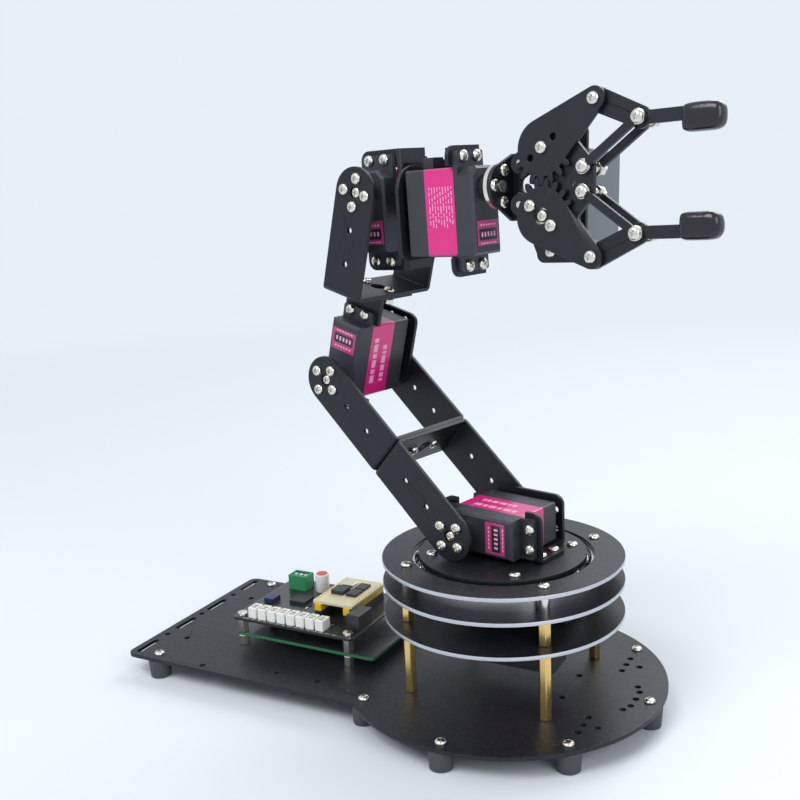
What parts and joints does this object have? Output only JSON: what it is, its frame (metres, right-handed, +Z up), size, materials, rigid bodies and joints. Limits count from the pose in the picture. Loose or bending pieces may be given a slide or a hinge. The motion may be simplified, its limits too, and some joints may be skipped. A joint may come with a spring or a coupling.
{
  "type": "desktop robot arm with a geared gripper",
  "caption": "Desktop arm of bent sheet brackets and hobby servos on a bearing turntable, with a geared parallel gripper and a controller board.",
  "frame": {"origin": "bottom centre of the whole object, on the surface that the feet stand on", "axes": "+X along the base plate, from the controller board towards the turntable, +Z up"},
  "size_m": [0.3182, 0.164, 0.2993],
  "materials": {
    "anodised_sheet": "satin black anodised",
    "rubber": "matt",
    "tip_rubber": "glossy",
    "nickel": "bright",
    "brass": "bright",
    "bearing_steel": "ground",
    "servo_plastic": "moulded",
    "pink_housing": "printed wrap",
    "grey_housing": "moulded",
    "board_black": "coated board",
    "connector_white": "moulded",
    "socket_yellow": "moulded"
  },
  "bodies": {
    "base": {"base_plate": "anodised_sheet", "rubber_feet": "rubber", "base_screws": "nickel", "long_standoffs": "brass", "lower_disc": "anodised_sheet", "mid_standoffs": "brass", "middle_disc": "anodised_sheet", "ring_spacers": "nickel", "top_ring": "anodised_sheet", "bearing_outer_race": "bearing_steel", "bearing_balls": "bearing_steel", "waist_servo_housing": "pink_housing", "waist_servo_covers": "servo_plastic", "controller_board": "board_black", "expansion_board": "board_black", "board_standoffs": "nickel", "servo_connectors": "connector_white", "yellow_socket": "socket_yellow", "radio_module": "board_black", "board_components": "board_black"},
    "turntable": {"turntable_plate": "anodised_sheet", "bearing_inner_race": "bearing_steel", "clamp_ring": "bearing_steel", "waist_horn": "bearing_steel", "shoulder_bracket": "anodised_sheet", "shoulder_servo_housing": "pink_housing", "shoulder_servo_covers": "servo_plastic", "turntable_screws": "nickel"},
    "upper_arm": {"lower_arm_bracket": "anodised_sheet", "upper_arm_bracket": "anodised_sheet", "arm_horns": "nickel", "arm_screws": "nickel"},
    "forearm": {"elbow_bracket": "anodised_sheet", "elbow_servo_housing": "pink_housing", "elbow_servo_covers": "servo_plastic", "forearm_bracket": "anodised_sheet", "wrist_horn": "nickel", "forearm_screws": "nickel"},
    "wrist": {"wrist_bracket": "anodised_sheet", "wrist_servo_housing": "pink_housing", "wrist_angle_bracket": "anodised_sheet", "roll_bracket": "anodised_sheet", "roll_servo_housing": "pink_housing", "wrist_servo_covers": "servo_plastic", "wrist_screws": "nickel"},
    "gripper": {"roll_horn": "nickel", "gripper_frame": "anodised_sheet", "gripper_front_plate": "anodised_sheet", "gripper_servo_housing": "grey_housing", "gripper_servo_covers": "servo_plastic", "gripper_spacers": "nickel"},
    "drive_arm": {"gripper_horn": "nickel", "drive_gear_arm": "anodised_sheet"},
    "idler_arm": {"idler_gear_arm": "anodised_sheet"},
    "upper_jaw": {"upper_finger": "anodised_sheet", "upper_tip_cap": "tip_rubber"},
    "lower_jaw": {"lower_finger": "anodised_sheet", "lower_tip_cap": "tip_rubber"},
    "upper_bar": {"upper_link": "anodised_sheet"},
    "lower_bar": {"lower_link": "anodised_sheet"}
  },
  "joints": [
    {"name": "waist", "type": "hinge", "parent": "base", "child": "turntable", "pos_m": [0.04239, 0, 0.0763], "axis": [0, 0, 1], "range_deg": [-77, 102]},
    {"name": "shoulder", "type": "hinge", "parent": "turntable", "child": "upper_arm", "pos_m": [0.03122, 0.0025, 0.092], "axis": [0.2181, 0.9759, 0], "range_deg": [-20, 50]},
    {"name": "elbow", "type": "hinge", "parent": "upper_arm", "child": "forearm", "pos_m": [-0.04627, 0.01982, 0.16202], "axis": [0.2181, 0.9759, 0], "range_deg": [-75, 20]},
    {"name": "wrist_pitch", "type": "hinge", "parent": "forearm", "child": "wrist", "pos_m": [-0.01966, 0.01387, 0.25777], "axis": [0.2181, 0.9759, 0], "range_deg": [-90, 20]},
    {"name": "wrist_roll", "type": "hinge", "parent": "wrist", "child": "gripper", "pos_m": [0.05284, -0.01801, 0.25913], "axis": [0.9751, -0.218, 0.0419], "range_deg": [-83.8, 96.2]},
    {"name": "gripper_drive", "type": "hinge", "parent": "gripper", "child": "drive_arm", "pos_m": [0.07803, -0.03339, 0.24684], "axis": [0.2213, 0.9692, -0.1079], "range_deg": [-28, 28]},
    {"name": "gripper_idler", "type": "hinge", "parent": "gripper", "child": "idler_arm", "pos_m": [0.07754, -0.03009, 0.27544], "axis": [0.2213, 0.9692, -0.1079], "range_deg": [-28, 28]},
    {"name": "upper_jaw_hinge", "type": "hinge", "parent": "idler_arm", "child": "upper_jaw", "pos_m": [0.10172, -0.03351, 0.29428], "axis": [0.2213, 0.9692, -0.1079], "range_deg": [-28, 28]},
    {"name": "lower_jaw_hinge", "type": "hinge", "parent": "drive_arm", "child": "lower_jaw", "pos_m": [0.10282, -0.04091, 0.2301], "axis": [0.2213, 0.9692, -0.1079], "range_deg": [-28, 28]},
    {"name": "upper_bar_hinge", "type": "hinge", "parent": "gripper", "child": "upper_bar", "pos_m": [0.09749, -0.03557, 0.26713], "axis": [0.2213, 0.9692, -0.1079], "range_deg": [-28, 28]},
    {"name": "lower_bar_hinge", "type": "hinge", "parent": "gripper", "child": "lower_bar", "pos_m": [0.09767, -0.03676, 0.25686], "axis": [0.2213, 0.9692, -0.1079], "range_deg": [-28, 28]}
  ],
  "couplings": [
    {"joint": "gripper_idler", "follows": "gripper_drive", "ratio": -1},
    {"joint": "upper_jaw_hinge", "follows": "gripper_drive", "ratio": 1},
    {"joint": "lower_jaw_hinge", "follows": "gripper_drive", "ratio": -1},
    {"joint": "upper_bar_hinge", "follows": "gripper_drive", "ratio": -1},
    {"joint": "lower_bar_hinge", "follows": "gripper_drive", "ratio": 1}
  ]
}
